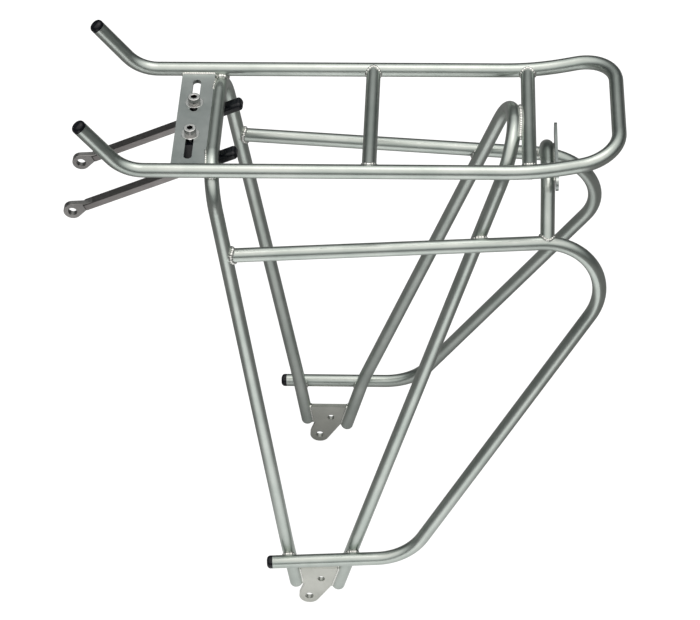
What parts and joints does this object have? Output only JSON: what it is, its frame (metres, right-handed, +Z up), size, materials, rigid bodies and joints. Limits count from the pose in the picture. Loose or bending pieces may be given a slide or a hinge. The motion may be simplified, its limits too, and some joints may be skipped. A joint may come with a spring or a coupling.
{
  "type": "bicycle rear rack",
  "caption": "Welded tube rear rack for a bicycle with raised luggage platform, lower pannier rails, dropout plates and sliding seat-stay arms.",
  "frame": {"origin": "midpoint between the two lower dropout holes, on the rack's middle plane", "axes": "+X towards the rear of the bicycle, +Y to its right side (mirror-plane normal), +Z up"},
  "size_m": [0.3905, 0.2052, 0.4528],
  "materials": {
    "frame_metal": "bead-blasted satin, bare metal",
    "plate_metal": "bead-blasted satin, bare metal",
    "stay_metal": "smooth satin stainless",
    "fastener": "bright stainless",
    "black_plastic": "semi-matte moulded"
  },
  "bodies": {
    "root": {"top_rail_loop": "frame_metal", "front_hoop": "frame_metal", "rear_hoop": "frame_metal", "middle_cross_tube": "frame_metal", "rear_cross_tube": "frame_metal", "slotted_plate": "plate_metal", "rear_bridge_tube": "frame_metal", "light_bracket": "plate_metal", "left_lower_rail": "frame_metal", "left_dropout_plate": "plate_metal", "left_prong_cap": "black_plastic", "left_lower_rail_cap": "black_plastic", "left_front_leg_plug": "frame_metal", "left_rear_leg_plug": "frame_metal", "right_lower_rail": "frame_metal", "right_dropout_plate": "plate_metal", "right_prong_cap": "black_plastic", "right_lower_rail_cap": "black_plastic", "right_front_leg_plug": "frame_metal", "right_rear_leg_plug": "frame_metal"},
    "left_bolt": {"left_clamp_bolt": "fastener", "left_clamp_washer": "fastener"},
    "left_clamp": {"left_clamp_block": "black_plastic", "left_clamp_nut": "fastener"},
    "left_barrel": {"left_swivel_barrel": "black_plastic"},
    "left_stay": {"left_stay_bar": "stay_metal", "left_stay_eyelet": "stay_metal", "left_stay_end_cap": "black_plastic"},
    "right_bolt": {"right_clamp_bolt": "fastener", "right_clamp_washer": "fastener"},
    "right_clamp": {"right_clamp_block": "black_plastic", "right_clamp_nut": "fastener"},
    "right_barrel": {"right_swivel_barrel": "black_plastic"},
    "right_stay": {"right_stay_bar": "stay_metal", "right_stay_eyelet": "stay_metal", "right_stay_end_cap": "black_plastic"}
  },
  "joints": [
    {"name": "left_clamp_shift", "type": "slide", "parent": "root", "child": "left_bolt", "axis": [0, -1, 0], "range_m": [-0.006, 0.0045]},
    {"name": "left_clamp_swing", "type": "hinge", "parent": "left_bolt", "child": "left_clamp", "pos_m": [-0.0716, -0.017, 0.4], "axis": [0, 0, 1], "range_deg": [-8, 8]},
    {"name": "left_stay_tilt", "type": "hinge", "parent": "left_clamp", "child": "left_barrel", "pos_m": [-0.0716, -0.0265, 0.3816], "axis": [0, 1, 0], "range_deg": [-1, 22]},
    {"name": "left_stay_reach", "type": "slide", "parent": "left_barrel", "child": "left_stay", "axis": [0.9096, 0, 0.4155], "range_m": [-0.01, 0.04]},
    {"name": "right_clamp_shift", "type": "slide", "parent": "root", "child": "right_bolt", "axis": [0, 1, 0], "range_m": [-0.006, 0.0045]},
    {"name": "right_clamp_swing", "type": "hinge", "parent": "right_bolt", "child": "right_clamp", "pos_m": [-0.0716, 0.017, 0.4], "axis": [0, 0, 1], "range_deg": [-8, 8]},
    {"name": "right_stay_tilt", "type": "hinge", "parent": "right_clamp", "child": "right_barrel", "pos_m": [-0.0716, 0.0265, 0.3816], "axis": [0, 1, 0], "range_deg": [-1, 22]},
    {"name": "right_stay_reach", "type": "slide", "parent": "right_barrel", "child": "right_stay", "axis": [0.9096, 0, 0.4155], "range_m": [-0.01, 0.04]}
  ]
}
